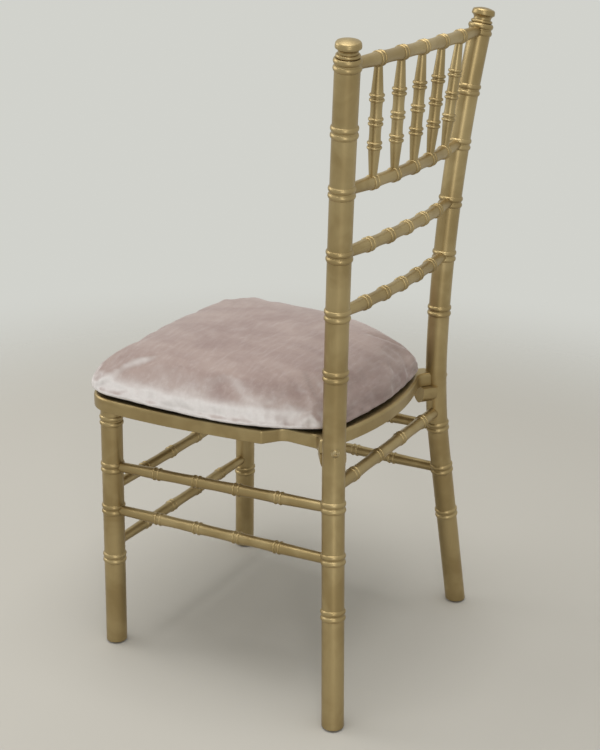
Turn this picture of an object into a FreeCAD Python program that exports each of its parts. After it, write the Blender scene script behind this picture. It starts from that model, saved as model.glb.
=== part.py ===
import FreeCAD, Part
import math
import os

# Ballroom side chair turned to look like bamboo, in millimetres.
# The sitter faces -Y, +X is the sitter's left and +Z is up.
# Shapes are built with Y = 0 on the line between the back posts at their waist,
# and moved at the end so that the origin lies under the middle of the whole chair.

Vector = FreeCAD.Vector
UP = Vector(0, 0, 1)

# Back posts
overall_height = 925.0
post_diameter = 31.0
post_half_gap = 154.8         # from the middle of the chair to a post's axis at the waist
waist_height = 440.0          # where the bent posts stand upright and closest together
upper_bend_radius = 2510.0
lower_bend_radius = 1040.0
foot_lean = 9.17              # degrees from upright in the straight lower leg
splay_direction = 54.0        # degrees from straight back towards the outside
post_ring_heights = [162.0, 240.0, 312.0, 496.0, 579.0, 658.0, 740.0, 815.0]

# Cap of a back post
cap_diameter = 31.2
cap_neck_diameter = 24.0
cap_bead_diameter = 28.6
cap_height = 14.0
cap_dome = 2.5
cap_dome_width = 27.6
cap_flare_length = 4.0        # the cap widens from its neck over this length
cap_flare_hollow = 0.6
cap_band_length = 4.0
cap_band_bulge = 0.3
cap_rim_bulge = 0.5
cap_neck_length = 2.6
cap_bead_length = 4.8
cap_bead_shoulder = 1.0       # step from the bead's root out to the ring pair's end

# Front legs
leg_diameter = 31.0
leg_half_gap = 176.6          # at the seat's underside
leg_setback = 349.0           # from the posts' waist line forward to the front legs
leg_splay_out = 2.6           # how far the foot stands outside the leg's top
leg_splay_front = 4.7
leg_ring_heights = [143.0, 223.0, 290.0, 363.0]
leg_tenon_diameter = 18.0
leg_tenon_length = 13.0

# Turned rings on posts and legs: two beads side by side
ring_zone = 16.0
ring_groove = 1.6
ring_rise = 1.7
ring_step = 0.15              # a ring's ends stand this much out of the round it sits on

# Bamboo nodes on rails and stretchers: two thin ridges on a swelling
node_zone = 11.2
ridge_width = 3.6
ridge_rise = 1.2

# Rails between the back posts
rail_end_diameter = 14.6
rail_body_diameter = 15.6
rail_node_diameter = 17.4
rail_node_share = 0.308       # the nodes stand this share of the rail's half span apart
rail_node_count = 5
top_rail_drop = 31.5          # the top rail's axis lies this far below the caps' peaks
spindle_rail_height = 740.0
ladder_upper_height = 658.0
ladder_lower_height = 579.0
top_rail_bow = 5.0
spindle_rail_bow = 12.0
ladder_upper_bow = 11.0
ladder_lower_bow = 10.0
rail_seam = 270.0             # degrees that turn a rail's seam to its side, clear of the spindles' holes

# Spindles of the back
spindle_end_diameter = 10.4
spindle_body_diameter = 15.4
spindle_waist_diameter = 14.6
spindle_ring_share = 0.1985   # the rings stand this share of the spindle's length apart
spindle_ring_count = 3
spindle_ring_zone = 10.4
spindle_ring_rise = 1.9
spindle_tenon_depth = 6.5

# Stretchers
stretcher_end_diameter = 14.6
stretcher_body_diameter = 15.2
stretcher_node_diameter = 16.4
stretcher_node_count = 4
side_node_pitch = 65.5
side_node_shift = -2.0        # the node group lies this far towards the front leg
front_node_pitch = 67.5
back_node_pitch = 70.0
side_upper_back_height = 309.0
side_upper_front_height = 290.0
side_lower_back_height = 237.0
side_lower_front_height = 221.0
front_upper_height = 256.0
front_lower_height = 164.0
back_stretcher_height = 336.0
back_stretcher_swell = 1.4    # the back stretcher is this much thicker than the others

# Sockets
socket_depth = 13.0
socket_clearance = 0.1
socket_end_gap = 0.4

# Seat frame, in plan
seat_top_height = 401.0
seat_thickness = 20.0
seat_half_width = 197.5
seat_front_reach = 384.0      # from the posts' waist line to the front corners
seat_front_bow = 10.0
seat_front_corner_radius = 46.0
bow_round = 0.42              # share of a bowed edge's half width that its middle arc takes up
seat_widest_reach = 262.0
seat_side_radius = 900.0
step_half_width = 173.0
step_reach = 101.0
step_corner_radius = 5.5
neck_half_width = 146.5
neck_reach = 81.0
neck_corner_radius = 18.0
rear_rim_radius = 378.0
rear_rim_reach = 8.0          # the rear rim's middle lies this far behind the waist line
rear_rim_half_width = 110.0   # half the width of the rear rim's arc
seat_edge_radius = 4.5
seat_under_edge_radius = 1.5
rim_width = 40.0
opening_front_radius = 28.0
opening_side_radius = 275.0
opening_rear_radius = 24.0
opening_rear_drop = 24.0      # the opening's rear corners lie this far in front of its middle
opening_rear_bow_radius = 189.0
panel_thickness = 6.0
panel_rebate = 9.0
panel_clearance = 0.3
scarf_reach = 190.0
front_joint_half_width = 128.0
rear_joint_half_width = 92.0
glue_line = 0.1
saw_margin = 1.0              # a parting cut runs this far past the frame's faces

# Joint of seat and back post
ear_half_width = 157.0        # from the middle of the chair to the ear's outer side
ear_start_reach = 31.0        # the seat's neck widens into the ear from here
ear_front_reach = 20.5
ear_margin = 8.0              # from the bolt's line to the ear's rear side
ear_corner_radius = 5.0
ear_hollow_radius = 8.0
ear_root_radius = 20.0
block_width = 35.0
block_height = 27.0
block_thickness = 14.0
block_wrap = 9.3              # the block's wings reach this far round the post
block_shoulder = 4.5
block_bow_half_width = 12.6
block_bow_depth = 20.0
bolt_height = 392.5
bolt_diameter = 6.0
bolt_length = 52.0
bolt_clearance = 0.25
bolt_head_diameter = 9.6
bolt_head_height = 2.6
bolt_rim_height = 1.0
bolt_crown_diameter = 5.8
bolt_socket_width = 4.0
bolt_socket_depth = 1.8
washer_diameter = 12.0
washer_thickness = 1.0
barrel_nut_diameter = 10.0
barrel_nut_length = 14.0
barrel_nut_inset = 40.0

# Screws that hold the front legs' tenons
leg_screw_diameter = 4.5
leg_screw_head_diameter = 9.0
leg_screw_length = 50.0
leg_screw_tip_diameter = 0.8

# Glides under the feet
glide_diameter = 24.0
glide_thickness = 3.0
glide_edge_radius = 0.75
glide_pin_diameter = 3.0
glide_pin_length = 14.0

# Loose cushion
pad_half_width = 196.0
pad_front_reach = 386.5
pad_front_bow = 13.0
pad_front_corner_radius = 52.0
pad_widest_reach = 268.0
pad_shoulder_half_width = 191.0
pad_shoulder_reach = 120.0
pad_rear_half_width = 131.0
pad_rear_reach = 14.0
pad_rear_corner_radius = 46.0
pad_rear_bow = 17.0
pad_side_radius = 318.0
pad_bulge_rise = 4.5          # the pad is fullest this far above its board
pad_crown_rise = 59.0         # and its crown lies this far above that
pad_crown_power = 2.7
pad_tuck = 9.0                # the base is drawn in this far, and half way up its side
pad_side_tuck = 2.2           # the pad is drawn in this far
pad_sections = 9
pad_top_share = 0.07          # the flat top's share of the outline
pad_section_power = 2.2       # crowds the sections towards the steep sides
board_thickness = 5.0
board_inset = 7.5
board_gap = 2.3
fastener_thickness = 1.0
fastener_gap = 0.3
fastener_width = 25.0
fastener_length = 150.0
fastener_half_gap = 85.0
fastener_reach = 190.0
piece_gap = 0.3

# Values worked out from the ones above
end_run = socket_depth + 3.0          # a bar's end keeps one size to just outside its socket
top_rail_height = overall_height - top_rail_drop
post_radius = post_diameter / 2
leg_radius = leg_diameter / 2
seat_under_height = seat_top_height - seat_thickness
splay = math.radians(splay_direction)
outward = Vector(math.sin(splay), math.cos(splay), 0)
sideways = Vector(outward.y, -outward.x, 0)
board_under_height = seat_top_height + board_gap
pad_under_height = board_under_height + board_thickness
pad_bulge_height = pad_under_height + pad_bulge_rise
cap_length = ring_zone + cap_bead_length + cap_neck_length + cap_height
cap_dome_radius = (cap_dome_width ** 2 / 4 + cap_dome ** 2) / (2 * cap_dome)
straight_top = waist_height - lower_bend_radius * math.sin(math.radians(foot_lean))


# Shapes from a few points

def turned(stations):
    """A solid turned about Z. A station is (height, radius, bulge of the edge that leads to it)."""
    first, last = stations[0], stations[-1]
    edges = [Part.LineSegment(Vector(0, 0, first[0]), Vector(first[1], 0, first[0])).toShape()]
    for (z0, r0, _), (z1, r1, bulge) in zip(stations, stations[1:]):
        a, b = Vector(r0, 0, z0), Vector(r1, 0, z1)
        if bulge:
            middle = (a + b) * 0.5 + Vector(b.z - a.z, 0, a.x - b.x).normalize() * bulge
            edges.append(Part.Arc(a, middle, b).toShape())
        else:
            edges.append(Part.LineSegment(a, b).toShape())
    if last[1] > 0:
        edges.append(Part.LineSegment(Vector(last[1], 0, last[0]), Vector(0, 0, last[0])).toShape())
    edges.append(Part.LineSegment(Vector(0, 0, last[0]), Vector(0, 0, first[0])).toShape())
    return Part.Face(Part.Wire(edges)).revolve(Vector(), UP, 360)


def along(shape, start, direction, seam=0.0):
    """Moves a shape from the Z axis so that it starts at a point and runs along a direction.

    The seam of a turned shape is moved by so many degrees, to lie clear of holes."""
    placed = shape.copy()
    spin = FreeCAD.Rotation(UP, seam)
    placed.Placement = FreeCAD.Placement(start, FreeCAD.Rotation(UP, direction).multiply(spin))
    return placed


def ringed(bar, ring, zone, places, seam=0.0):
    """Sets rings into a round bar: each takes the place of an equal length of the bar."""
    gap = Part.makeCylinder(post_diameter, zone, Vector(0, 0, -zone / 2))
    spaced = bar.cut([along(gap, point, direction) for point, direction in places])
    rings = [along(ring, point, direction, seam) for point, direction in places]
    return spaced.multiFuse(rings).Solids[0]


def rod(diameter, start, end):
    return Part.makeCylinder(diameter / 2, (end - start).Length, start, end - start)


def rounded_loop(corners, height):
    """A closed flat wire through corners (x, y, radius), each rounded by an arc."""
    count = len(corners)
    arcs = []
    for i, (x, y, radius) in enumerate(corners):
        corner = Vector(x, y, height)
        before = Vector(corners[i - 1][0], corners[i - 1][1], height) - corner
        after = Vector(corners[(i + 1) % count][0], corners[(i + 1) % count][1], height) - corner
        before.normalize()
        after.normalize()
        half = before.getAngle(after) / 2
        reach = radius / math.tan(half)
        inward = (before + after).normalize()
        middle = corner + inward * (radius / math.sin(half) - radius)
        arcs.append((corner + before * reach, middle, corner + after * reach))
    edges = []
    for i, (start, middle, end) in enumerate(arcs):
        edges.append(Part.Arc(start, middle, end).toShape())
        edges.append(Part.LineSegment(end, arcs[(i + 1) % count][0]).toShape())
    return Part.Wire(edges)


def both_sides(half):
    """Corners of a whole loop from its +X half, which starts at the front and ends at the back."""
    return half + [(-x, y, radius) for x, y, radius in reversed(half) if x > 0]


def mirrored(shape):
    return shape.mirror(Vector(), Vector(1, 0, 0))


# Where the posts and legs stand

def post_offset(height):
    """How far a post leans out at a height, and its slope there."""
    rise = height - waist_height
    if rise >= 0:
        drop = math.sqrt(upper_bend_radius ** 2 - rise ** 2)
        return upper_bend_radius - drop, rise / drop
    if height >= straight_top:
        drop = math.sqrt(lower_bend_radius ** 2 - rise ** 2)
        return lower_bend_radius - drop, rise / drop
    lean = math.radians(foot_lean)
    bend = lower_bend_radius * (1 - math.cos(lean))
    return bend + (straight_top - height) * math.tan(lean), -math.tan(lean)


def post_point(height):
    """A point on the left post's axis."""
    return Vector(post_half_gap, 0, height) + outward * post_offset(height)[0]


def post_direction(height):
    return (UP + outward * post_offset(height)[1]).normalize()


def leg_point(height):
    """A point on the left front leg's axis."""
    share = (seat_under_height - height) / seat_under_height
    x = leg_half_gap + leg_splay_out * share
    return Vector(x, -leg_setback - leg_splay_front * share, height)


def collar_foot():
    """The height of the lower end of a post's cap, whose dome then peaks at the overall height."""
    tilt = post_direction(overall_height - cap_length).z
    return overall_height - cap_dome_radius - (cap_length - cap_dome_radius) * tilt


def flipped(point):
    return Vector(-point.x, point.y, point.z)


# Turned detail

def ring_stations(middle, radius, zone=ring_zone, rise=ring_rise):
    """Two beads about a groove, on a round of the given radius."""
    groove = ring_groove / 2
    return [(middle - zone / 2, radius, 0), (middle - groove, radius, rise),
            (middle + groove, radius, 0), (middle + zone / 2, radius, rise)]


def node_stations(middle, radius, body_radius, before_radius):
    """The hollow stretch before a bamboo node and the node's two ridges."""
    half = node_zone / 2
    return [(middle - half, radius, body_radius - (radius + before_radius) / 2),
            (middle - half + ridge_width, radius, ridge_rise),
            (middle + half - ridge_width, radius, 0), (middle + half, radius, ridge_rise)]


def bamboo_bar(start, end, nodes, end_diameter, body_diameter, node_diameter):
    """A straight turned bar with bamboo nodes at distances from its start."""
    length = (end - start).Length
    end_radius, node_radius = end_diameter / 2, node_diameter / 2
    stations = [(0, end_radius, 0), (end_run, end_radius, 0)]
    for distance in nodes:
        stations += node_stations(distance, node_radius, body_diameter / 2, stations[-1][1])
    hollow = (body_diameter - node_radius - end_radius) / 2
    stations += [(length - end_run, end_radius, hollow), (length, end_radius, 0)]
    return along(turned(stations), start, end - start)


def socketed(start, end, radius):
    """The ends of a bar between two axes, each reaching into its socket."""
    run = (end - start).normalize() * (radius - socket_depth)
    return start + run, end - run


def socket(diameter, axis_point, towards, radius):
    """The drilled hole for a bar's end, from inside a post out through its surface."""
    run = (towards - axis_point).normalize()
    bottom = axis_point + run * (radius - socket_depth - socket_end_gap)
    return rod(diameter + 2 * socket_clearance, bottom, axis_point + run * radius * 2)


# Rails of the back

def rail_points(height, bow):
    """The rail's axis at one post, at its nodes and at the other post."""
    end = post_point(height)
    middle = (rail_node_count - 1) / 2
    points = [flipped(end)]
    for i in range(rail_node_count):
        x = (i - middle) * rail_node_share * end.x
        points.append(Vector(x, end.y + bow * (1 - (x / end.x) ** 2), height))
    return points + [end]


def bowed_rail(height, bow):
    """A rail of straight internodes that turn a little at each bamboo node."""
    points = rail_points(height, bow)
    points[0], _ = socketed(points[0], points[1], post_radius)
    _, points[-1] = socketed(points[-2], points[-1], post_radius)
    end_radius, body_radius = rail_end_diameter / 2, rail_body_diameter / 2
    node_radius = rail_node_diameter / 2
    pieces = []
    last = len(points) - 1
    for i in range(last):
        length = (points[i + 1] - points[i]).Length
        first_radius = node_radius if i else end_radius
        last_radius = node_radius if i + 1 < last else end_radius
        first_flat = node_zone / 2 if i else end_run
        last_flat = node_zone / 2 if i + 1 < last else end_run
        hollow = body_radius - (first_radius + last_radius) / 2
        stations = [(0, first_radius, 0), (first_flat, first_radius, 0),
                    (length - last_flat, last_radius, hollow), (length, last_radius, 0)]
        pieces.append(along(turned(stations), points[i], points[i + 1] - points[i], rail_seam))
    bar = pieces[0].multiFuse(pieces[1:])
    places = [(points[i], (points[i + 1] - points[i - 1]).normalize()) for i in range(1, last)]
    return ringed(bar, rail_node(node_radius + ring_step), node_zone, places, rail_seam)


def rail_node(radius):
    """The two ridges of a node and the low band between them."""
    half = node_zone / 2
    return turned([(-half, radius, 0), (-half + ridge_width, radius, ridge_rise),
                   (half - ridge_width, radius, 0), (half, radius, ridge_rise)])


def spindle_ends():
    """Axis points of each spindle on the spindle rail and on the top rail."""
    lower = rail_points(spindle_rail_height, spindle_rail_bow)[1:-1]
    upper = rail_points(top_rail_height, top_rail_bow)[1:-1]
    return list(zip(lower, upper))


def spindle_seat(rail_radius):
    """How far from a rail's axis a spindle's end lies."""
    return rail_radius - spindle_tenon_depth


def spindle(lower, upper):
    """A turned spindle, thin at both ends, with double rings."""
    run = (upper - lower).normalize()
    start = lower + run * spindle_seat(rail_node_diameter / 2)
    length = (upper - lower).Length - 2 * spindle_seat(rail_node_diameter / 2)
    end_radius, body_radius = spindle_end_diameter / 2, spindle_body_diameter / 2
    waist = (spindle_waist_diameter - spindle_body_diameter) / 2
    stations = [(0, end_radius, 0), (spindle_tenon_depth, end_radius, 0)]
    middle = (spindle_ring_count - 1) / 2
    for i in range(spindle_ring_count):
        height = length * (0.5 + (i - middle) * spindle_ring_share)
        ring = ring_stations(height, body_radius, spindle_ring_zone, spindle_ring_rise)
        low, radius, _ = ring[0]
        stations += [(low, radius, waist if i else 0)] + ring[1:]
    stations += [(length - spindle_tenon_depth, end_radius, 0), (length, end_radius, 0)]
    return along(turned(stations), start, run)


def spindle_sockets(towards_top):
    """Holes for the spindles' ends in the spindle rail or in the top rail."""
    holes = []
    for lower, upper in spindle_ends():
        near, far = (lower, upper) if towards_top else (upper, lower)
        run = (far - near).normalize()
        bottom = near + run * (spindle_seat(rail_node_diameter / 2) - socket_end_gap)
        top = near + run * rail_node_diameter
        holes.append(rod(spindle_end_diameter + 2 * socket_clearance, bottom, top))
    return holes


# Stretchers

def back_stretcher_ends():
    end = post_point(back_stretcher_height)
    return flipped(end), end


def front_stretcher_ends(height):
    end = leg_point(height)
    return flipped(end), end


def side_stretcher_ends(front_height, back_height):
    return leg_point(front_height), post_point(back_height)


def stretcher(start, end, pitch, shift=0.0, swell=0.0):
    """A straight stretcher with its group of nodes about the middle."""
    first, last = socketed(start, end, post_radius)
    length = (last - first).Length
    middle = (stretcher_node_count - 1) / 2
    nodes = [length / 2 + shift + (i - middle) * pitch for i in range(stretcher_node_count)]
    return bamboo_bar(first, last, nodes, stretcher_end_diameter + swell,
                      stretcher_body_diameter + swell, stretcher_node_diameter + swell)


# Posts and legs

def cap_stations():
    """The turned head above a post's last ring pair, from the ring pair's lower end up."""
    neck, bead, cap = cap_neck_diameter / 2, cap_bead_diameter / 2, cap_diameter / 2
    foot = ring_zone + cap_bead_length
    under = foot + cap_neck_length
    stations = ring_stations(ring_zone / 2, post_radius + ring_step)
    stations += [(ring_zone, neck + cap_bead_shoulder, 0), (foot, neck, bead - neck), (under, neck, 0)]
    stations += [(under + cap_flare_length, cap, -cap_flare_hollow),
                 (under + cap_flare_length + cap_band_length, cap, cap_band_bulge)]
    rim_radius = cap_dome_width / 2
    slant = math.hypot(rim_radius, cap_dome) / 2
    crown = cap_dome_radius - math.sqrt(cap_dome_radius ** 2 - slant ** 2)
    stations += [(under + cap_height - cap_dome, rim_radius, cap_rim_bulge), (under + cap_height, 0, crown)]
    return stations


def post_round():
    """The bent round of the left post: a straight lower leg, then a tight and a wide bend."""
    waist = post_point(waist_height)
    section = Part.Face(Part.Wire([Part.makeCircle(post_radius, waist, UP)]))
    turn = UP.cross(outward)
    upper_angle = math.degrees(math.asin((collar_foot() - waist_height) / upper_bend_radius))
    lower = section.revolve(waist + outward * lower_bend_radius, turn * -1, foot_lean)
    upper = section.revolve(waist + outward * upper_bend_radius, turn, upper_angle)
    leg = rod(post_diameter, post_point(-post_radius), post_point(straight_top))
    return leg.fuse(lower).fuse(upper)


def post_blank():
    """The turned left post before its holes are drilled."""
    places = [(post_point(height), post_direction(height)) for height in post_ring_heights]
    ring = turned(ring_stations(0, post_radius + ring_step))
    post = ringed(post_round(), ring, ring_zone, places)
    foot = collar_foot()
    post = post.fuse(along(turned(cap_stations()), post_point(foot), post_direction(foot)))
    return post.cut(floor_block()).Solids[0]


def floor_block():
    """Everything below the tops of the glides."""
    size = overall_height * 2
    return Part.makeBox(size, size, size, Vector(-size / 2, -size / 2, glide_thickness - size))


def post_holes():
    """Sockets of the rails and stretchers, and the bolt hole with its flat seat."""
    holes = []
    rails = [(top_rail_height, top_rail_bow), (spindle_rail_height, spindle_rail_bow),
             (ladder_upper_height, ladder_upper_bow), (ladder_lower_height, ladder_lower_bow)]
    for height, bow in rails:
        points = rail_points(height, bow)
        holes.append(socket(rail_end_diameter, points[-1], points[-2], post_radius))
    far, near = back_stretcher_ends()
    holes.append(socket(stretcher_end_diameter + back_stretcher_swell, near, far, post_radius))
    for front, back in side_heights():
        leg, post = side_stretcher_ends(front, back)
        holes.append(socket(stretcher_end_diameter, post, leg, post_radius))
    head, inner = bolt_line()
    holes.append(rod(bolt_diameter + 2 * bolt_clearance, head, inner))
    holes.append(rod(washer_diameter + 2 * bolt_clearance, head, head + outward * post_radius))
    holes.append(glide_hole(post_point(0)))
    return holes


def side_heights():
    return [(side_upper_front_height, side_upper_back_height),
            (side_lower_front_height, side_lower_back_height)]


def back_post(blank):
    return blank.cut(post_holes()).Solids[0]


def front_leg():
    """The straight left front leg, its tenon, its rings and its sockets."""
    top, foot = leg_point(seat_under_height), leg_point(0)
    direction = (top - foot).normalize()
    run = (top - foot).Length
    stations = [(-leg_radius, leg_radius, 0)]
    for height in leg_ring_heights:
        stations += ring_stations(height * run / seat_under_height, leg_radius)
    shoulder = run - piece_gap
    stations += [(shoulder, leg_radius, 0), (shoulder, leg_tenon_diameter / 2, 0),
                 (run + leg_tenon_length, leg_tenon_diameter / 2, 0)]
    leg = along(turned(stations), foot, direction)
    holes = [floor_block(), glide_hole(foot)]
    for height in (front_upper_height, front_lower_height):
        far, near = front_stretcher_ends(height)
        holes.append(socket(stretcher_end_diameter, near, far, leg_radius))
    for front, back in side_heights():
        near, far = side_stretcher_ends(front, back)
        holes.append(socket(stretcher_end_diameter, near, far, leg_radius))
    holes.append(leg_screw_solid(socket_clearance))
    return leg.cut(holes).Solids[0]


def leg_screw_solid(grow=0.0):
    """A countersunk screw down through the seat's corner into the leg's tenon."""
    direction = (leg_point(0) - leg_point(seat_under_height)).normalize()
    head = leg_point(seat_top_height - panel_clearance)
    shank, rim = leg_screw_diameter / 2 + grow, leg_screw_head_diameter / 2 + grow
    sink = rim - shank
    stations = [(0, rim, 0), (sink, shank, 0), (leg_screw_length - sink, shank, 0),
                (leg_screw_length + grow, leg_screw_tip_diameter / 2, 0)]
    return along(turned(stations), head, direction)


def foot_glide(axis_foot):
    """A disc with a pin that is driven up into the foot."""
    base = Vector(axis_foot.x, axis_foot.y, 0)
    disc = Part.makeCylinder(glide_diameter / 2, glide_thickness, base, UP)
    edge = [edge for edge in disc.Edges if edge.BoundBox.ZMax < glide_thickness / 2]
    disc = disc.makeFillet(glide_edge_radius, edge)
    return disc.fuse(Part.makeCylinder(glide_pin_diameter / 2, glide_thickness + glide_pin_length, base, UP))


def glide_hole(axis_foot):
    base = Vector(axis_foot.x, axis_foot.y, 0)
    depth = glide_thickness + glide_pin_length + socket_end_gap
    return Part.makeCylinder(glide_pin_diameter / 2 + socket_clearance, depth, base, UP)


# Seat frame and panel

def bowed(half_width, bow):
    """The radius of the arc in the middle of a bowed edge."""
    return bow_round * half_width ** 2 / bow


def seat_outline():
    """The seat's outer edge: wide in front, stepped in to a neck, with an ear out to each post."""
    rim_angle = math.asin(rear_rim_half_width / rear_rim_radius)
    slope = math.tan(rim_angle)
    rear_peak = rear_rim_reach - rear_rim_radius + rear_rim_radius / math.cos(rim_angle)
    inner = post_point(bolt_height) - sideways * ear_margin
    run = (inner.y - rear_peak + inner.x * slope) / (outward.y + outward.x * slope)
    root = inner - outward * run
    half = [(0, -seat_front_reach - seat_front_bow, bowed(seat_half_width, seat_front_bow)),
            (seat_half_width, -seat_front_reach, seat_front_corner_radius),
            (seat_half_width, -seat_widest_reach, seat_side_radius),
            (step_half_width, -step_reach, step_corner_radius),
            (neck_half_width, -neck_reach, neck_corner_radius),
            (neck_half_width, -ear_start_reach, ear_hollow_radius),
            (ear_half_width, -ear_front_reach, ear_corner_radius),
            (ear_half_width, 0, ear_corner_radius),
            (inner.x, inner.y, ear_corner_radius),
            (root.x, root.y, ear_root_radius),
            (0, rear_peak, rear_rim_radius)]
    return both_sides(half)


def seat_opening():
    """The seat frame's inner edge."""
    front = seat_front_reach - rim_width
    half_front = seat_half_width - rim_width
    half_rear = neck_half_width - rim_width
    rear = rear_rim_reach - rim_width
    half = [(half_front, -front, opening_front_radius),
            (half_front, -seat_widest_reach, opening_side_radius),
            (half_rear, rear - opening_rear_drop, opening_rear_radius),
            (0, rear, opening_rear_bow_radius)]
    return both_sides(half)


def grown(corners, by, height):
    """A loop's wire moved outwards."""
    return rounded_loop(corners, height).makeOffset2D(by)


def seat_ring(post):
    """The whole seat frame with its rebate and sockets, before it is parted at its joints."""
    rise = UP * seat_thickness
    plate = Part.Face(rounded_loop(seat_outline(), seat_under_height)).extrude(rise)
    top_edges = [e for e in plate.Edges if e.BoundBox.ZMin > seat_top_height - 0.01]
    plate = plate.makeFillet(seat_edge_radius, top_edges)
    under_edges = [e for e in plate.Edges if e.BoundBox.ZMax < seat_under_height + 0.01]
    plate = plate.makeFillet(seat_under_edge_radius, under_edges)
    rebate_floor = seat_top_height - panel_thickness
    opening = Part.Face(rounded_loop(seat_opening(), seat_under_height)).extrude(rise)
    rebate = Part.Face(grown(seat_opening(), panel_rebate, rebate_floor)).extrude(rise)
    cuts = [opening, rebate, post, mirrored(post)]
    for side_cut in seat_drillings():
        cuts += [side_cut, mirrored(side_cut)]
    return plate.cut(cuts)


def seat_drillings():
    """Tenon hole, screw hole, bolt hole and barrel nut hole of the left side."""
    top = leg_point(seat_under_height + leg_tenon_length + socket_end_gap)
    tenon = rod(leg_tenon_diameter + 2 * socket_clearance, leg_point(seat_under_height - leg_radius), top)
    head, inner = bolt_line()
    bolt = rod(bolt_diameter + 2 * bolt_clearance, head, inner)
    return [tenon, leg_screw_solid(socket_clearance), bolt, barrel_nut_solid(bolt_clearance)]


def split_ring(ring):
    """The seat frame parted into its glued pieces."""
    reach = overall_height
    low, tall = seat_under_height - saw_margin, seat_thickness + 2 * saw_margin

    def part_between(x0, x1, y0, y1):
        gap = glue_line / 2
        corner = Vector(x0 + gap, y0 + gap, low)
        box = Part.makeBox(x1 - x0 - 2 * gap, y1 - y0 - 2 * gap, tall, corner)
        return max(ring.common(box).Solids, key=lambda solid: solid.Volume)

    front, rear = front_joint_half_width, rear_joint_half_width
    side = part_between(front, reach, -reach, -scarf_reach)
    corner = part_between(rear, reach, -scarf_reach, reach)
    return {
        "seat_front_rail": part_between(-front, front, -reach, -scarf_reach),
        "seat_side_rail_left": side,
        "seat_side_rail_right": mirrored(side),
        "seat_rear_corner_left": corner,
        "seat_rear_corner_right": mirrored(corner),
        "seat_rear_rail": part_between(-rear, rear, -scarf_reach, reach),
    }


def seat_panel():
    floor = seat_top_height - panel_thickness
    plate = Part.Face(grown(seat_opening(), panel_rebate - panel_clearance, floor))
    return plate.extrude(UP * panel_thickness)


def corner_block(post):
    """A shield-shaped block under the seat's rear corner, cut to the post's curve."""
    top = post_point(seat_under_height)
    top.z = seat_under_height
    face = top - outward * (post_radius + block_thickness)
    half = sideways * block_width / 2
    shoulder = UP * -block_shoulder
    tip = face - UP * block_height
    left, right = face - half, face + half
    bow = sideways * block_bow_half_width - UP * block_bow_depth
    bow_left = sideways * -block_bow_half_width - UP * block_bow_depth
    outline = Part.Wire([
        Part.LineSegment(left, right).toShape(), Part.LineSegment(right, right + shoulder).toShape(),
        Part.Arc(right + shoulder, face + bow, tip).toShape(),
        Part.Arc(tip, face + bow_left, left + shoulder).toShape(),
        Part.LineSegment(left + shoulder, left).toShape()])
    block = Part.Face(outline).extrude(outward * (block_thickness + block_wrap))
    return max(block.cut(post).Solids, key=lambda solid: solid.Volume)


def bolt_line():
    """The washer's seat on the left post and the far end of the bolt's hole."""
    axis = post_point(bolt_height)
    half = (washer_diameter / 2 + bolt_clearance)
    seat = math.sqrt(post_radius ** 2 - half ** 2) - bolt_clearance
    head = axis + outward * seat
    return head, head - outward * (bolt_length + socket_end_gap)


def seat_bolt():
    """A flat-headed bolt with a hexagon socket."""
    head, _ = bolt_line()
    radius = bolt_head_diameter / 2
    base = washer_thickness
    shank = rod(bolt_diameter, head - outward * bolt_length, head + outward * base)
    top = turned([(0, radius, 0), (bolt_rim_height, radius, 0),
                  (bolt_head_height, bolt_crown_diameter / 2, 0)])
    bolt = shank.fuse(along(top, head + outward * base, outward))
    hexagon = [Vector(math.cos(math.radians(60 * i)), math.sin(math.radians(60 * i)), 0)
               * (bolt_socket_width / math.sqrt(3)) for i in range(7)]
    key = Part.Face(Part.makePolygon(hexagon)).extrude(UP * bolt_head_height)
    return bolt.cut(along(key, head + outward * (base + bolt_head_height - bolt_socket_depth), outward))


def bolt_washer():
    head, _ = bolt_line()
    disc = rod(washer_diameter, head, head + outward * washer_thickness)
    hole = rod(bolt_diameter + 2 * bolt_clearance, head - outward, head + outward * 2 * washer_thickness)
    return disc.cut(hole)


def barrel_nut_solid(grow=0.0):
    """The round nut that lies across the bolt inside the seat's rear corner."""
    head, _ = bolt_line()
    middle = head - outward * (barrel_nut_inset + washer_thickness)
    half = UP * (barrel_nut_length / 2 + grow)
    return rod(barrel_nut_diameter + 2 * grow, middle - half, middle + half)


def barrel_nut():
    head, inner = bolt_line()
    return barrel_nut_solid().cut(rod(bolt_diameter + 2 * socket_clearance, head, inner))


# Cushion

def pad_outline():
    """The cushion's outline where it is fullest."""
    half = [(0, -pad_front_reach - pad_front_bow, bowed(pad_half_width, pad_front_bow)),
            (pad_half_width, -pad_front_reach, pad_front_corner_radius),
            (pad_half_width, -pad_widest_reach, pad_side_radius),
            (pad_shoulder_half_width, -pad_shoulder_reach, pad_side_radius),
            (pad_rear_half_width, -pad_rear_reach, pad_rear_corner_radius),
            (0, -pad_rear_reach + pad_rear_bow, bowed(pad_rear_half_width, pad_rear_bow))]
    return both_sides(half)


def pad_loop(inset, height):
    """The cushion's outline drawn in towards its middle."""
    middle = -(pad_front_reach + pad_rear_reach) / 2
    share = 1 - inset / pad_half_width
    corners = [(x * share, middle + (y - middle) * share, radius * share) for x, y, radius in pad_outline()]
    return rounded_loop(corners, height)


def cushion_pad():
    """A crowned pad: tucked under at its base, fullest just above it, and domed on top."""
    low = pad_under_height + piece_gap
    loops = [pad_loop(pad_tuck, low), pad_loop(pad_side_tuck, (low + pad_bulge_height) / 2)]
    for i in range(pad_sections):
        inset = pad_half_width * (1 - pad_top_share) * (i / (pad_sections - 1)) ** pad_section_power
        fall = (1 - inset / pad_half_width) ** pad_crown_power
        loops.append(pad_loop(inset, pad_bulge_height + pad_crown_rise * (1 - fall) ** (1 / pad_crown_power)))
    return Part.makeLoft(loops, True, True)


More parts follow.
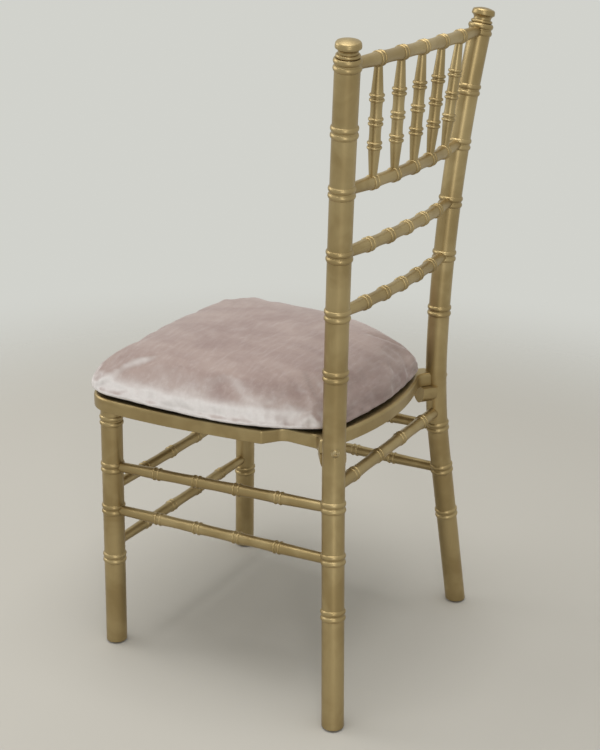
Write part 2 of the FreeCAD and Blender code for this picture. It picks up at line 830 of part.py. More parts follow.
def cushion_board():
    return Part.Face(pad_loop(board_inset, board_under_height)).extrude(UP * board_thickness)


def fastener_strips(bottom, top):
    """A pair of tape strips between the seat and the cushion's board."""
    size = (fastener_width, fastener_length, top - bottom)
    corner = Vector(fastener_half_gap - fastener_width / 2, -fastener_reach - fastener_length / 2, bottom)
    strip = Part.makeBox(*size, corner)
    return Part.makeCompound([strip, mirrored(strip)])


def pair(shape):
    return Part.makeCompound([shape, mirrored(shape)])


# Every piece by name

def build_pieces():
    blank = post_blank()
    pieces = {"back_post_left": back_post(blank)}
    pieces["back_post_right"] = mirrored(pieces["back_post_left"])
    pieces["front_leg_left"] = front_leg()
    pieces["front_leg_right"] = mirrored(pieces["front_leg_left"])
    pieces["top_rail"] = bowed_rail(top_rail_height, top_rail_bow).cut(spindle_sockets(False))
    pieces["spindle_rail"] = bowed_rail(spindle_rail_height, spindle_rail_bow).cut(spindle_sockets(True))
    pieces["ladder_rail_upper"] = bowed_rail(ladder_upper_height, ladder_upper_bow)
    pieces["ladder_rail_lower"] = bowed_rail(ladder_lower_height, ladder_lower_bow)
    for number, (lower, upper) in enumerate(spindle_ends(), 1):
        pieces[f"spindle_{number}"] = spindle(lower, upper)
    for level, (front, back) in zip(("upper", "lower"), side_heights()):
        bar = stretcher(*side_stretcher_ends(front, back), side_node_pitch, side_node_shift)
        pieces[f"side_stretcher_{level}_left"] = bar
        pieces[f"side_stretcher_{level}_right"] = mirrored(bar)
    for level, height in (("upper", front_upper_height), ("lower", front_lower_height)):
        pieces[f"front_stretcher_{level}"] = stretcher(*front_stretcher_ends(height), front_node_pitch)
    pieces["back_stretcher"] = stretcher(*back_stretcher_ends(), back_node_pitch, 0.0, back_stretcher_swell)
    pieces.update(split_ring(seat_ring(blank)))
    pieces["seat_panel"] = seat_panel()
    pieces["corner_block_left"] = corner_block(blank)
    pieces["corner_block_right"] = mirrored(pieces["corner_block_left"])
    pieces["seat_bolts"] = pair(seat_bolt())
    pieces["bolt_washers"] = pair(bolt_washer())
    pieces["barrel_nuts"] = pair(barrel_nut())
    pieces["front_leg_screws"] = pair(leg_screw_solid())
    glides = [foot_glide(leg_point(0)), foot_glide(post_point(0))]
    pieces["foot_glides"] = Part.makeCompound(glides + [mirrored(glide) for glide in glides])
    strip_top = seat_top_height + fastener_thickness
    pieces["hook_strips"] = fastener_strips(seat_top_height, strip_top)
    pieces["loop_strips"] = fastener_strips(strip_top + fastener_gap, board_under_height)
    pieces["cushion_board"] = cushion_board()
    pieces["cushion_pad"] = cushion_pad()
    return pieces


def write_pieces():
    pieces = build_pieces()
    whole = FreeCAD.BoundBox()
    for shape in pieces.values():
        whole.add(shape.optimalBoundingBox(False, False))
    shift = Vector(0, -whole.Center.y, 0)
    os.makedirs("parts", exist_ok=True)
    for name, shape in pieces.items():
        shape.translated(shift).exportStep(f"parts/{name}.step")


write_pieces()
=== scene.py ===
import math

import bmesh
import bpy
import numpy as np
from bpy.props import FloatProperty, FloatVectorProperty, IntProperty, PointerProperty
from mathutils import Matrix, Vector


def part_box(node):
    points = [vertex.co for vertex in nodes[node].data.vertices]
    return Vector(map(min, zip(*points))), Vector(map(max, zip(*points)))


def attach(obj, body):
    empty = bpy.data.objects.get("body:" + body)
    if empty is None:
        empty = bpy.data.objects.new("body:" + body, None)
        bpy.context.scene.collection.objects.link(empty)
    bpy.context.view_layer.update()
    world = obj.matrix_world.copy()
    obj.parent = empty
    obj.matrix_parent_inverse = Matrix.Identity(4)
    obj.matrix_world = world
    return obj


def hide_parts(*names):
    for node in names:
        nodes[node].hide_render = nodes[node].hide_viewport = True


bl_info = {
    "name": "Ballroom Chair Finisher",
    "version": (1, 0, 0),
    "blender": (4, 5, 0),
    "location": "3D View > Sidebar > Ballroom Chair",
    "description": "Paints and upholsters a bamboo-turned ballroom chair around its packed frame",
    "category": "Add Mesh",
}

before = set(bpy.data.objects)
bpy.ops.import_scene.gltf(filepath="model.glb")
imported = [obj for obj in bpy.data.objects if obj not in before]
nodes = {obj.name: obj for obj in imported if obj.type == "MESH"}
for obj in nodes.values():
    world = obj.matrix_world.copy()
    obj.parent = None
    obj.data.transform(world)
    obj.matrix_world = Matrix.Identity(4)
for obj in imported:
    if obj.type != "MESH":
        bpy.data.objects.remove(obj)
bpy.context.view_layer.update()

POSTS = ["back_post_left", "back_post_right"]
LEGS = ["front_leg_left", "front_leg_right"]
RAILS = ["top_rail", "spindle_rail", "ladder_rail_upper", "ladder_rail_lower"]
SPINDLES = [f"spindle_{number}" for number in range(1, 6)]
SIDE_STRETCHERS = [f"side_stretcher_{level}_{side}" for level in ("upper", "lower")
                   for side in ("left", "right")]
CROSS_STRETCHERS = ["front_stretcher_upper", "front_stretcher_lower", "back_stretcher"]
SEAT_ACROSS = ["seat_front_rail", "seat_rear_rail", "seat_rear_corner_left", "seat_rear_corner_right"]
SEAT_SIDES = ["seat_side_rail_left", "seat_side_rail_right"]
BLOCKS = ["corner_block_left", "corner_block_right"]

ACROSS, FORWARD, UPRIGHT = (1, 0, 0), (0, 1, 0), (0, 0, 1)


class ChairSizes(bpy.types.PropertyGroup):
    """Sizes of the upholstery and the paint's texture."""

    voxel: FloatProperty(name="Cover mesh", description="Edge length of the cover's first mesh",
                         default=0.005, min=0.003, unit="LENGTH")
    slack: FloatProperty(name="Foam allowance",
                         description="How much smaller the foam is than the full cushion",
                         default=0.0025, min=0.0, unit="LENGTH")
    pressure: FloatProperty(name="Stuffing pressure", description="Pressure that swells the cover",
                            default=4.0, min=0.0)
    travel: FloatProperty(name="Largest swell", description="The most that a point of the cover moves",
                          default=0.007, min=0.0, unit="LENGTH")
    steps: IntProperty(name="Cloth steps", description="Frames that the cover swells for", default=20, min=2)
    pucker: FloatProperty(name="Pucker depth", description="Depth of the small folds along the cover's hem",
                          default=0.0010, min=0.0, unit="LENGTH")
    pucker_height: FloatProperty(name="Pucker height", description="How far the hem's folds run up the side",
                                 default=0.013, min=0.001, unit="LENGTH")
    lip: FloatProperty(name="Lip", description="How far the cover's hem is drawn out past the board's edge",
                       default=0.0045, min=0.0, unit="LENGTH")
    droop: FloatProperty(name="Droop", description="How far the hem hangs down over the board's edge",
                         default=0.0038, min=0.0, unit="LENGTH")
    brush_run: FloatProperty(name="Brush mark length",
                             description="Length of a mark in the paint against its width",
                             default=14.0, min=1.0)


class ChairColours(bpy.types.PropertyGroup):
    """Colours of the chair's finishes and of the stage."""

    gold: FloatVectorProperty(name="Gold paint", description="Satin gold paint", subtype="COLOR",
                              default=(0.430, 0.330, 0.165), min=0, max=1)
    gold_deep: FloatVectorProperty(name="Deep gold", description="Thicker or older paint", subtype="COLOR",
                                   default=(0.340, 0.250, 0.115), min=0, max=1)
    velvet: FloatVectorProperty(name="Velvet", description="Pile seen from above", subtype="COLOR",
                                default=(0.330, 0.255, 0.225), min=0, max=1)
    velvet_deep: FloatVectorProperty(name="Velvet shade", description="Pile brushed towards the light",
                                     subtype="COLOR", default=(0.255, 0.185, 0.165), min=0, max=1)
    # Velvet sheen: colour of the cover's pale nap streaks, and of the painted sheen on its steep front and
    # left sides
    velvet_streaks_and_painted_sheen: FloatVectorProperty(name="Velvet sheen", description="Pile brushed away at the edges",
                                     subtype="COLOR", default=(0.720, 0.680, 0.655), min=0, max=1)
    lining: FloatVectorProperty(name="Lining", description="Black lining of the cushion's board",
                                subtype="COLOR", default=(0.006, 0.0055, 0.005), min=0, max=1)
    steel: FloatVectorProperty(name="Steel", description="Zinc-plated fittings", subtype="COLOR",
                               default=(0.560, 0.470, 0.300), min=0, max=1)
    nylon: FloatVectorProperty(name="Nylon", description="Glides under the feet", subtype="COLOR",
                               default=(0.060, 0.055, 0.050), min=0, max=1)
    ply: FloatVectorProperty(name="Plywood", description="Thinly painted plywood of the seat's panel",
                             subtype="COLOR", default=(0.420, 0.310, 0.150), min=0, max=1)
    floor: FloatVectorProperty(name="Floor", description="Plain pale floor", subtype="COLOR",
                               default=(0.480, 0.455, 0.405), min=0, max=1)
    wall: FloatVectorProperty(name="Backdrop", description="Plain pale backdrop", subtype="COLOR",
                              default=(0.640, 0.645, 0.605), min=0, max=1)
    sky: FloatVectorProperty(name="Room light", description="Even light of a pale room", subtype="COLOR",
                             default=(0.500, 0.510, 0.500), min=0, max=1)


class Value:
    """A socket of a material's nodes. An expression on it adds Math nodes."""

    def __init__(self, shader, socket):
        self.shader = shader
        self.socket = socket

    def maths(self, operation, *terms):
        return self.shader.node("Math", {"operation": operation}, dict(enumerate(terms)))

    def __add__(self, other):
        return self.maths("ADD", self, other)

    def __radd__(self, other):
        return self.maths("ADD", other, self)

    def __sub__(self, other):
        return self.maths("SUBTRACT", self, other)

    def __rsub__(self, other):
        return self.maths("SUBTRACT", other, self)

    def __mul__(self, other):
        return self.maths("MULTIPLY", self, other)

    def __rmul__(self, other):
        return self.maths("MULTIPLY", other, self)

    def between(self, low, high):
        """0 below low and 1 above high, with a smooth step between."""
        inputs = {"Value": self, "From Min": low, "From Max": high}
        return self.shader.node("MapRange", {"interpolation_type": "SMOOTHSTEP"}, inputs)


class Shader:
    """One material and its nodes."""

    def __init__(self, name, **constants):
        self.material = bpy.data.materials.new(name)
        self.material.use_nodes = True
        self.tree = self.material.node_tree
        self.surface = self.tree.nodes["Principled BSDF"]
        for socket, value in constants.items():
            self.surface.inputs[socket.replace("_", " ").title().replace("Ior", "IOR")].default_value = value

    def node(self, kind, settings=None, inputs=None, output=0):
        """Adds a node: its settings first, then the values or links of its sockets."""
        made = self.tree.nodes.new("ShaderNode" + kind)
        for name, value in (settings or {}).items():
            setattr(made, name, value)
        for key, value in (inputs or {}).items():
            self.feed(made.inputs[key], value)
        return Value(self, made.outputs[output])

    def feed(self, socket, value):
        if isinstance(value, Value):
            self.tree.links.new(value.socket, socket)
        else:
            socket.default_value = value

    def feed_surface(self, **values):
        for name, value in values.items():
            self.feed(self.surface.inputs[name.replace("_", " ")], value)

    def place(self, stretch=(1, 1, 1)):
        """The object's own coordinates, scaled along each axis."""
        at = self.node("TexCoord", output="Object")
        return self.node("VectorMath", {"operation": "MULTIPLY"}, {0: at, 1: stretch})

    def noise(self, where, scale, detail=2.0, roughness=0.5, distortion=0.0):
        inputs = {"Vector": where, "Scale": scale, "Detail": detail,
                  "Roughness": roughness, "Distortion": distortion}
        return self.node("TexNoise", {}, inputs)

    def blend(self, share, first, second):
        """One colour into another. A Mix node takes its colours at 6 and 7 and gives one at 2."""
        inputs = {0: share, 6: self.opaque(first), 7: self.opaque(second)}
        return self.node("Mix", {"data_type": "RGBA"}, inputs, 2)

    @staticmethod
    def opaque(colour):
        return colour if isinstance(colour, Value) else (*colour, 1.0)

    def bumped(self, height, strength, distance):
        inputs = {"Height": height, "Strength": strength, "Distance": distance}
        return self.node("Bump", {}, inputs)


def settings():
    """The chair's sizes and colours."""
    scene = bpy.context.scene
    return scene.chair_sizes, scene.chair_colours


# Finishes

def gold_paint(name, run):
    """Satin metallic gold paint over turned wood whose grain runs along an axis."""
    sizes, colours = settings()
    shader = Shader(name, metallic=0.86)
    along = [1.0 / sizes.brush_run if axis else 1.0 for axis in run]
    brushed = shader.place(along)
    plain = shader.place()
    marks = shader.noise(brushed, 420, 3, 0.6)
    clouds = shader.noise(plain, 16, 3, 0.55, 0.4)
    flake = shader.noise(plain, 2600, 1)
    peel = shader.noise(plain, 340, 2, 0.6)
    wear = clouds.between(0.38, 0.66)
    tone = shader.blend(wear, colours.gold_deep, colours.gold)
    tone = shader.blend(marks.between(0.45, 0.75) * 0.22, tone, colours.gold_deep)
    shader.feed_surface(Base_Color=tone)
    shader.feed_surface(Roughness=0.30 + 0.10 * clouds + 0.10 * flake - 0.04 * marks)
    height = 0.5 * marks + 0.35 * peel + 0.15 * flake
    shader.feed_surface(Normal=shader.bumped(height, 0.22, 0.00035))
    return shader.material


def crushed_velvet():
    """Short pile: cloudy where it has been brushed, with a painted sheen lightening it where it turns down
    at the front and left.
    """
    _, colours = settings()
    shader = Shader("crushed_velvet", sheen_weight=0.55, sheen_roughness=0.35, roughness=0.85)
    shader.surface.inputs["Sheen Tint"].default_value = (0.95, 0.88, 0.86, 1.0)
    shader.surface.inputs["Specular IOR Level"].default_value = 0.25
    plain = shader.place()
    brushed = shader.place((1.0, 0.42, 1.0))
    clouds = shader.noise(brushed, 15, 5, 0.62, 0.6)
    streaks = shader.noise(shader.place((0.22, 1.0, 1.0)), 150, 4, 0.65, 0.3)
    pile = shader.noise(plain, 1500, 2, 0.7)
    tone = shader.blend(clouds.between(0.32, 0.68), colours.velvet_deep, colours.velvet)
    tone = shader.blend(streaks.between(0.40, 0.85) * 0.14, tone, colours.velvet_streaks_and_painted_sheen)
    facing = shader.node("NewGeometry", output="Normal")
    parts = shader.tree.nodes.new("ShaderNodeSeparateXYZ")
    shader.feed(parts.inputs[0], facing)
    left, back, up = (Value(shader, socket) for socket in parts.outputs)
    # Painted sheen: the base colour turns pale on steep sides that face the front and left, standing in for
    # light grazing the pile
    turned_down = 1.0 - up.between(0.30, 0.88)
    painted_sheen_side = (0.80 * left - 0.62 * back).between(-0.20, 0.60)
    pale = turned_down * painted_sheen_side * (0.88 + 0.12 * streaks.between(0.3, 0.7))
    # the painted sheen is mixed into the base colour here
    tone = shader.blend(pale, tone, colours.velvet_streaks_and_painted_sheen)
    shader.feed_surface(Base_Color=tone)
    height = 0.55 * pile + 0.12 * streaks + 0.4 * clouds
    shader.feed_surface(Normal=shader.bumped(height, 0.30, 0.0009))
    return shader.material


def black_lining():
    """Thin bonded lining with a fine cloth grain."""
    _, colours = settings()
    shader = Shader("black_lining", roughness=0.95, specular_ior_level=0.15)
    weave_across = shader.node("TexWave", {"bands_direction": "X"},
                               {"Vector": shader.place(), "Scale": 420, "Distortion": 0.6})
    weave_along = shader.node("TexWave", {"bands_direction": "Y"},
                              {"Vector": shader.place(), "Scale": 420, "Distortion": 0.6})
    lint = shader.noise(shader.place(), 260, 3).between(0.55, 0.8)
    dusty = [0.02 + channel for channel in colours.lining]
    shader.feed_surface(Base_Color=shader.blend(lint * 0.35, colours.lining, dusty))
    shader.feed_surface(Normal=shader.bumped(weave_across + weave_along, 0.4, 0.0003))
    return shader.material


def plated_steel():
    """Zinc-plated steel with a little gold mist from the paint gun."""
    _, colours = settings()
    shader = Shader("plated_steel", metallic=1.0)
    scratches = shader.noise(shader.place((1.0, 1.0, 0.1)), 1800, 3)
    mist = shader.noise(shader.place(), 300, 3).between(0.45, 0.62)
    shader.feed_surface(Base_Color=shader.blend(0.5 + 0.5 * mist, colours.steel, colours.gold))
    shader.feed_surface(Roughness=0.24 + 0.16 * scratches)
    shader.feed_surface(Normal=shader.bumped(scratches, 0.15, 0.0002))
    return shader.material


def worn_nylon():
    """Dark nylon, scuffed grey where it slides on the floor."""
    _, colours = settings()
    shader = Shader("worn_nylon", specular_ior_level=0.4)
    scuffs = shader.noise(shader.place((0.3, 1.0, 1.0)), 900, 4, 0.7).between(0.5, 0.7)
    pale = [0.10 + channel for channel in colours.nylon]
    shader.feed_surface(Base_Color=shader.blend(scuffs * 0.7, colours.nylon, pale))
    shader.feed_surface(Roughness=0.45 + 0.35 * scuffs)
    shader.feed_surface(Normal=shader.bumped(scuffs, 0.2, 0.0002))
    return shader.material


def panel_ply():
    """Plywood panel with thin gold paint, through which the grain shows."""
    _, colours = settings()
    shader = Shader("painted_ply", metallic=0.35)
    grain = shader.noise(shader.place((1.0, 0.05, 1.0)), 190, 5, 0.65, 0.8)
    pores = shader.noise(shader.place((1.0, 0.03, 1.0)), 900, 2, 0.5).between(0.62, 0.7)
    dark = [0.55 * channel for channel in colours.ply]
    shader.feed_surface(Base_Color=shader.blend(grain.between(0.35, 0.7), colours.ply, dark))
    shader.feed_surface(Roughness=0.50 + 0.15 * grain)
    shader.feed_surface(Normal=shader.bumped(grain - 0.5 * pores, 0.3, 0.0004))
    return shader.material


def fastener_tape(name, pitch):
    """Woven black tape covered in small hooks or loops."""
    _, colours = settings()
    shader = Shader(name, roughness=0.8, sheen_weight=0.3)
    tufts = shader.node("TexVoronoi", {}, {"Vector": shader.place(), "Scale": 1 / pitch})
    fuzz = shader.noise(shader.place(), 1600, 2)
    paler = [0.045 + channel for channel in colours.lining]
    shader.feed_surface(Base_Color=shader.blend(tufts.between(0.2, 0.7), paler, colours.lining))
    shader.feed_surface(Normal=shader.bumped(fuzz - tufts, 0.7, 0.0006))
    return shader.material


def finish_nodes(names, material):
    """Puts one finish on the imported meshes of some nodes."""
    for name in names:
        mesh = nodes[name].data
        mesh.materials.clear()
        mesh.materials.append(material)


# Cushion

def solid_copy(name, source, slack):
    """A new piece from a node's mesh, drawn in on all sides but its base."""
    mesh = source.data.copy()
    piece = bpy.data.objects.new(name, mesh)
    bpy.context.scene.collection.objects.link(piece)
    low, high = (Vector(corner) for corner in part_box(source.name))
    middle = (low + high) / 2
    size = high - low
    share = Vector((1 - 2 * slack / size.x, 1 - 2 * slack / size.y, 1 - slack / size.z))
    base = Vector((middle.x, middle.y, low.z))
    for vertex in mesh.vertices:
        offset = vertex.co - base
        vertex.co = base + Vector((offset.x * share.x, offset.y * share.y, offset.z * share.z))
    return piece


def settle(piece):
    """Turns what a piece's modifiers show into its own mesh."""
    graph = bpy.context.evaluated_depsgraph_get()
    mesh = bpy.data.meshes.new_from_object(piece.evaluated_get(graph))
    piece.modifiers.clear()
    old, piece.data = piece.data, mesh
    bpy.data.meshes.remove(old)
    return mesh


def points_of(mesh):
    flat = np.empty(len(mesh.vertices) * 3)
    mesh.vertices.foreach_get("co", flat)
    return flat.reshape(-1, 3)


def move_points(mesh, points):
    mesh.vertices.foreach_set("co", np.ascontiguousarray(points, dtype=np.float32).ravel())
    mesh.update()


def swell(piece, sizes, hem):
    """Lets stuffing pressure swell the cover, held at its hem, and caps how far a point moves."""
    rest = points_of(piece.data)
    held = piece.vertex_groups.new(name="held")
    held.add([int(i) for i in np.nonzero(rest[:, 2] < hem)[0]], 1.0, "REPLACE")
    cloth = piece.modifiers.new("stuffing", "CLOTH")
    cloth.settings.quality = 6
    cloth.settings.mass = 0.25
    cloth.settings.tension_stiffness = 14
    cloth.settings.compression_stiffness = 14
    cloth.settings.shear_stiffness = 5
    cloth.settings.bending_stiffness = 0.4
    cloth.settings.shrink_min = -0.02
    cloth.settings.vertex_group_mass = held.name
    cloth.settings.use_pressure = True
    cloth.settings.uniform_pressure_force = sizes.pressure
    cloth.settings.effector_weights.gravity = 0
    cloth.point_cache.frame_end = sizes.steps
    scene = bpy.context.scene
    for step in range(1, sizes.steps + 1):
        scene.frame_set(step)
    mesh = settle(piece)
    scene.frame_set(1)
    moved = points_of(mesh) - rest
    far = np.linalg.norm(moved, axis=1)
    scale = np.minimum(1.0, sizes.travel / np.maximum(far, 1e-9))
    move_points(mesh, rest + moved * scale[:, None])


HEM_FOLDS = [
    # where along the hem each fold lies, by its direction from the cushion's middle in degrees,
    # its width in metres and its depth against the others
    (-28, 0.007, 1.2), (-22, 0.004, 0.7), (-8, 0.009, 1.0), (6, 0.006, 1.5), (11, 0.004, 0.8),
    (27, 0.006, 0.9), (66, 0.005, 0.7), (78, 0.008, 1.2), (90, 0.005, 0.8), (102, 0.007, 1.3),
    (117, 0.005, 0.9), (150, 0.006, 1.0), (171, 0.005, 0.8), (186, 0.008, 1.2), (203, 0.005, 0.7),
    (224, 0.007, 1.1), (248, 0.005, 0.8), (268, 0.007, 1.2), (291, 0.005, 0.9), (312, 0.006, 1.0),
]


def pucker_hem(mesh, sizes):
    """Pinches the cover's lower edge where the cloth is drawn over the board."""
    flat_reach = 0.12       # nearer to the middle than this the cloth lies flat
    fold_run = 0.04         # the folds reach their full depth over this distance
    points = points_of(mesh)
    low = points[:, 2].min()
    middle = (points.min(0) + points.max(0)) / 2
    flat = points[:, :2] - middle[:2]
    reach = np.linalg.norm(flat, axis=1)
    angle = np.arctan2(flat[:, 1], flat[:, 0])
    height = points[:, 2] - low
    rise = np.clip(1 - height / sizes.pucker_height, 0, 1) ** 1.5
    edge = np.clip((reach - flat_reach) / fold_run, 0, 1)
    pinch = np.zeros(len(points))
    for direction, width, depth in HEM_FOLDS:
        turn = np.angle(np.exp(1j * (angle - math.radians(direction))))
        across = turn * reach
        pinch += depth * np.exp(-(across / width) ** 2)
    inward = -flat / np.maximum(reach, 1e-6)[:, None]
    points[:, :2] += inward * (sizes.pucker * pinch * rise * edge)[:, None]
    move_points(mesh, points)


def clear_of_posts(mesh, gap):
    """Keeps the cover off the back posts, which it fits between."""
    below, above = 0.03, 0.06       # the post is measured from below the cushion to above it
    points = points_of(mesh)
    for post in POSTS:
        low, high = points[:, 2].min() - below, points[:, 2].max() + above
        ring = np.array([v.co for v in nodes[post].data.vertices if low < v.co.z < high])
        centre = (ring.min(0) + ring.max(0)) / 2
        radius = (ring[:, 0].max() - ring[:, 0].min()) / 2 + gap
        away = points[:, :2] - centre[:2]
        distance = np.maximum(np.linalg.norm(away, axis=1), 1e-6)
        push = np.maximum(radius - distance, 0)
        points[:, :2] += away / distance[:, None] * push[:, None]
    move_points(mesh, points)


def smooth(mesh, rounds):
    """Moves every point half way to the middle of its neighbours, a number of times."""
    form = bmesh.new()
    form.from_mesh(mesh)
    for _ in range(rounds):
        bmesh.ops.smooth_vert(form, verts=form.verts, factor=0.5, use_axis_x=True, use_axis_y=True,
                              use_axis_z=True)
    form.to_mesh(mesh)
    form.free()


def fill_box(mesh, low, high):
    """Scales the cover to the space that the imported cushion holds."""
    points = points_of(mesh)
    first, last = points.min(0), points.max(0)
    share = (points - first) / (last - first)
    move_points(mesh, np.array(low) + share * (np.array(high) - np.array(low)))


def droop_hem(mesh, sizes):
    """Draws the cover's lower edge out past the board and down over its edge."""
    lip_start = 0.025       # the lip starts this far inside the board's edge
    lip_run = 0.020         # and stands out in full after this distance
    lip_height = 0.008      # the lip fades out this high up the side
    droop_run = 0.002       # the hem hangs in full this far past the board's edge
    droop_height = 0.030    # the droop fades out this high up the side
    board = np.array([v.co for v in nodes["cushion_board"].data.vertices])
    points = points_of(mesh)
    middle = (board.min(0) + board.max(0)) / 2
    rim = board[:, :2] - middle[:2]
    turn = np.arctan2(rim[:, 1], rim[:, 0])
    order = np.argsort(turn)
    flat = points[:, :2] - middle[:2]
    reach = np.linalg.norm(flat, axis=1)
    angle = np.arctan2(flat[:, 1], flat[:, 0])
    edge = np.interp(angle, turn[order], np.linalg.norm(rim, axis=1)[order], period=2 * math.pi)
    low = points[:, 2].min()
    height = points[:, 2] - low
    past = reach - edge
    out = np.clip((past + lip_start) / lip_run, 0, 1) * np.clip(1 - height / lip_height, 0, 1) * sizes.lip
    points[:, :2] += flat / np.maximum(reach, 1e-6)[:, None] * out[:, None]
    over = np.clip((past + out) / droop_run, 0, 1)
    points[:, 2] -= sizes.droop * over * np.clip(1 - height / droop_height, 0, 1) ** 1.5
    move_points(mesh, points)


def stuffed_cover(sizes):
    """The velvet cover over its foam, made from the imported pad."""
    held_share = 0.7        # the cloth is held up to this share of a voxel above its base
    coarse_rounds, fine_rounds = 12, 6
    post_gap = 0.0006
    source = nodes["cushion_pad"]
    piece = solid_copy("velvet_cover", source, sizes.slack)
    remesh = piece.modifiers.new("cells", "REMESH")
    remesh.mode = "VOXEL"
    remesh.voxel_size = sizes.voxel
    remesh.adaptivity = 0
    mesh = settle(piece)
    smooth(mesh, coarse_rounds)
    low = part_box(source.name)[0].z
    swell(piece, sizes, low + sizes.voxel * held_share)
    finer = piece.modifiers.new("finer", "SUBSURF")
    finer.levels = finer.render_levels = 1
    mesh = settle(piece)
    smooth(mesh, fine_rounds)
    fill_box(mesh, *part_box(source.name))
    droop_hem(mesh, sizes)
    pucker_hem(mesh, sizes)
    clear_of_posts(mesh, post_gap)
    mesh.shade_smooth()
    return piece


# Stage

FLOOR_HALF = 1.8
FLOOR_FADE = (0.9, 1.75)      # the floor fades into the backdrop between these distances
LAMPS = [
    # name, place, width and height, power, where it points
    ("overhead", (0.3, 0.0, 2.9), (2.0, 2.0), 50.0, (0.0, 0.0, 0.4)),
    ("window", (0.6, -2.6, 1.8), (1.6, 1.6), 22.0, (0.0, 0.0, 0.5)),
    ("room", (2.35, 1.75, 1.2), (0.45, 2.2), 15.0, (0.0, 0.0, 0.55)),
]


def fading_floor(colours):
    """Lays a plain floor that fades out away from its middle."""
    mesh = bpy.data.meshes.new("floor")
    turns = [(-1, -1), (1, -1), (1, 1), (-1, 1)]
    mesh.from_pydata([(x * FLOOR_HALF, y * FLOOR_HALF, 0) for x, y in turns], [], [(0, 1, 2, 3)])
    floor = bpy.data.objects.new("floor", mesh)
    bpy.context.scene.collection.objects.link(floor)
    shader = Shader("floor_paint", roughness=0.9)
    away = shader.node("VectorMath", {"operation": "LENGTH"}, {0: shader.place()}, "Value")
    shader.feed_surface(Base_Color=(*colours.floor, 1.0), Alpha=1.0 - away.between(*FLOOR_FADE))
    mesh.materials.append(shader.material)


def soft_lamp(name, place, size, power, aim):
    """Hangs a broad lamp that points at a place."""
    light = bpy.data.lights.new(name, "AREA")
    light.shape = "RECTANGLE"
    light.size, light.size_y = size
    light.energy = power
    lamp = bpy.data.objects.new(name, light)
    bpy.context.scene.collection.objects.link(lamp)
    lamp.location = place
    lamp.rotation_mode = "QUATERNION"
    lamp.rotation_quaternion = (Vector(aim) - Vector(place)).to_track_quat("-Z", "Y")


def pale_room(colours):
    """Lights the chair evenly, and shows the backdrop to the camera and to shiny surfaces."""
    world = bpy.data.worlds.new("studio")
    bpy.context.scene.world = world
    world.use_nodes = True
    tree = world.node_tree
    light = tree.nodes["Background"]
    light.inputs["Color"].default_value = (*colours.sky, 1.0)
    backdrop = tree.nodes.new("ShaderNodeBackground")
    backdrop.inputs["Color"].default_value = (*colours.wall, 1.0)
    path = tree.nodes.new("ShaderNodeLightPath")
    mix = tree.nodes.new("ShaderNodeMixShader")
    seen = path.outputs["Is Camera Ray"]
    for ray in ("Is Glossy Ray", "Is Transmission Ray"):
        either = tree.nodes.new("ShaderNodeMath")
        either.operation = "MAXIMUM"
        tree.links.new(seen, either.inputs[0])
        tree.links.new(path.outputs[ray], either.inputs[1])
        seen = either.outputs[0]
    tree.links.new(seen, mix.inputs[0])
    tree.links.new(light.outputs[0], mix.inputs[1])
    tree.links.new(backdrop.outputs[0], mix.inputs[2])
    tree.links.new(mix.outputs[0], tree.nodes["World Output"].inputs["Surface"])


# Operators

class ChairOperator:
    bl_options = {"REGISTER", "UNDO"}


class CHAIR_OT_camera(ChairOperator, bpy.types.Operator):
    """Stand the camera behind the chair and to its left, at standing height"""

    bl_idname = "chair.camera"
    bl_label = "Camera"

    place = (1.6031, 0.9658, 1.1410)
    forward = (-0.80436, -0.46919, -0.36450)
    roll = 0.78
    lens = 66.37

    def execute(self, context):
        data = bpy.data.cameras.new("camera")
        data.lens = self.lens
        data.sensor_width = 36.0
        camera = bpy.data.objects.new("camera", data)
        context.scene.collection.objects.link(camera)
        aim = Vector(self.forward).to_track_quat("-Z", "Y").to_matrix().to_4x4()
        tilt = Matrix.Rotation(math.radians(self.roll), 4, "Z")
        camera.matrix_world = Matrix.Translation(self.place) @ aim @ tilt
        context.scene.camera = camera
        return {"FINISHED"}


class CHAIR_OT_posts(ChairOperator, bpy.types.Operator):
    """Paint the bent back posts and the front legs"""

    bl_idname = "chair.posts"
    bl_label = "Posts and Legs"

    def execute(self, context):
        finish_nodes(POSTS + LEGS + BLOCKS, gold_paint("gold_posts", UPRIGHT))
        return {"FINISHED"}


class CHAIR_OT_back(ChairOperator, bpy.types.Operator):
    """Paint the back's rails and spindles"""

    bl_idname = "chair.back"
    bl_label = "Back Rails and Spindles"

    def execute(self, context):
        finish_nodes(RAILS, gold_paint("gold_rails", ACROSS))
        finish_nodes(SPINDLES, gold_paint("gold_spindles", UPRIGHT))
        return {"FINISHED"}


class CHAIR_OT_stretchers(ChairOperator, bpy.types.Operator):
    """Paint the stretchers between the legs"""

    bl_idname = "chair.stretchers"
    bl_label = "Stretchers"

    def execute(self, context):
        finish_nodes(SIDE_STRETCHERS, gold_paint("gold_side_stretchers", FORWARD))
        finish_nodes(CROSS_STRETCHERS, gold_paint("gold_cross_stretchers", ACROSS))
        return {"FINISHED"}


class CHAIR_OT_seat(ChairOperator, bpy.types.Operator):
    """Paint the seat's glued frame and its panel"""

    bl_idname = "chair.seat"
    bl_label = "Seat Frame"

    def execute(self, context):
        finish_nodes(SEAT_ACROSS, gold_paint("gold_seat_across", ACROSS))
        finish_nodes(SEAT_SIDES, gold_paint("gold_seat_sides", FORWARD))
        finish_nodes(["seat_panel"], panel_ply())
        return {"FINISHED"}


class CHAIR_OT_fittings(ChairOperator, bpy.types.Operator):
    """Finish the bolts, washers, nuts, screws and the glides under the feet"""

    bl_idname = "chair.fittings"
    bl_label = "Fittings and Glides"

    def execute(self, context):
        finish_nodes(["seat_bolts", "bolt_washers", "barrel_nuts", "front_leg_screws"], plated_steel())
        finish_nodes(["foot_glides"], worn_nylon())
        return {"FINISHED"}


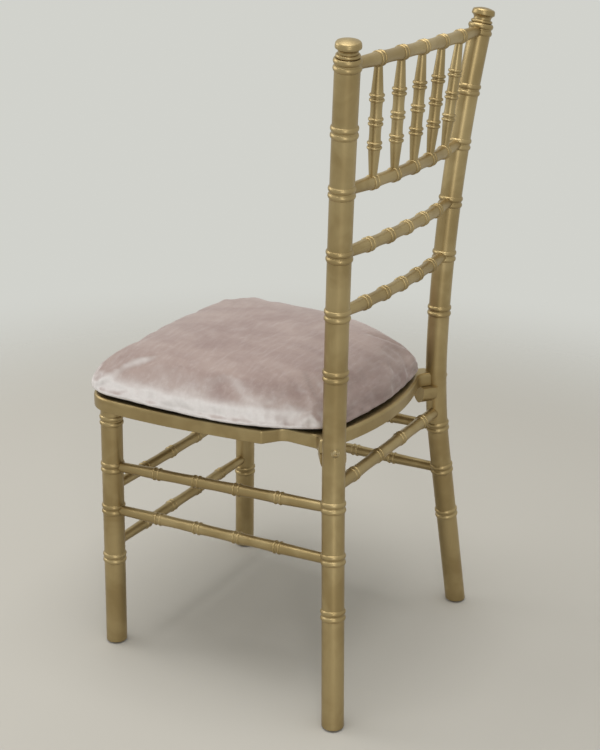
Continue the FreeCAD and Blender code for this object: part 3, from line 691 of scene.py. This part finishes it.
class CHAIR_OT_strips(ChairOperator, bpy.types.Operator):
    """Finish the hook and loop strips under the cushion"""

    bl_idname = "chair.strips"
    bl_label = "Hook and Loop Strips"

    def execute(self, context):
        finish_nodes(["hook_strips"], fastener_tape("hook_tape", 0.0016))
        finish_nodes(["loop_strips"], fastener_tape("loop_tape", 0.0011))
        return {"FINISHED"}


class CHAIR_OT_cushion(ChairOperator, bpy.types.Operator):
    """Line the cushion's board and stuff its velvet cover"""

    bl_idname = "chair.cushion"
    bl_label = "Cushion"

    def execute(self, context):
        sizes, _ = settings()
        finish_nodes(["cushion_board"], black_lining())
        cover = stuffed_cover(sizes)
        cover.data.materials.clear()
        cover.data.materials.append(crushed_velvet())
        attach(cover, "cushion")
        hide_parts("cushion_pad")
        return {"FINISHED"}


class CHAIR_OT_stage(ChairOperator, bpy.types.Operator):
    """Lay a plain pale floor under soft studio light"""

    bl_idname = "chair.stage"
    bl_label = "Floor and Light"

    def execute(self, context):
        _, colours = settings()
        fading_floor(colours)
        for lamp in LAMPS:
            soft_lamp(*lamp)
        pale_room(colours)
        context.scene.view_settings.view_transform = "Standard"
        return {"FINISHED"}


class CHAIR_PT_panel(bpy.types.Panel):
    """The chair's sizes, colours and steps"""

    bl_idname = "CHAIR_PT_panel"
    bl_label = "Ballroom Chair"
    bl_space_type = "VIEW_3D"
    bl_region_type = "UI"
    bl_category = "Ballroom Chair"

    def draw(self, context):
        for group in settings():
            for name in group.__annotations__:
                self.layout.prop(group, name)
        for operator in OPERATORS:
            self.layout.operator(operator.bl_idname)


OPERATORS = [CHAIR_OT_camera, CHAIR_OT_posts, CHAIR_OT_back, CHAIR_OT_stretchers, CHAIR_OT_seat,
             CHAIR_OT_fittings, CHAIR_OT_strips, CHAIR_OT_cushion, CHAIR_OT_stage]
CLASSES = [ChairSizes, ChairColours, *OPERATORS, CHAIR_PT_panel]


def register():
    for made in CLASSES:
        bpy.utils.register_class(made)
    bpy.types.Scene.chair_sizes = PointerProperty(type=ChairSizes)
    bpy.types.Scene.chair_colours = PointerProperty(type=ChairColours)


def unregister():
    del bpy.types.Scene.chair_colours
    del bpy.types.Scene.chair_sizes
    for made in reversed(CLASSES):
        bpy.utils.unregister_class(made)


def main():
    register()
    for operator in OPERATORS:
        group, name = operator.bl_idname.split(".")
        getattr(getattr(bpy.ops, group), name)()


if __name__ == "__main__":
    main()
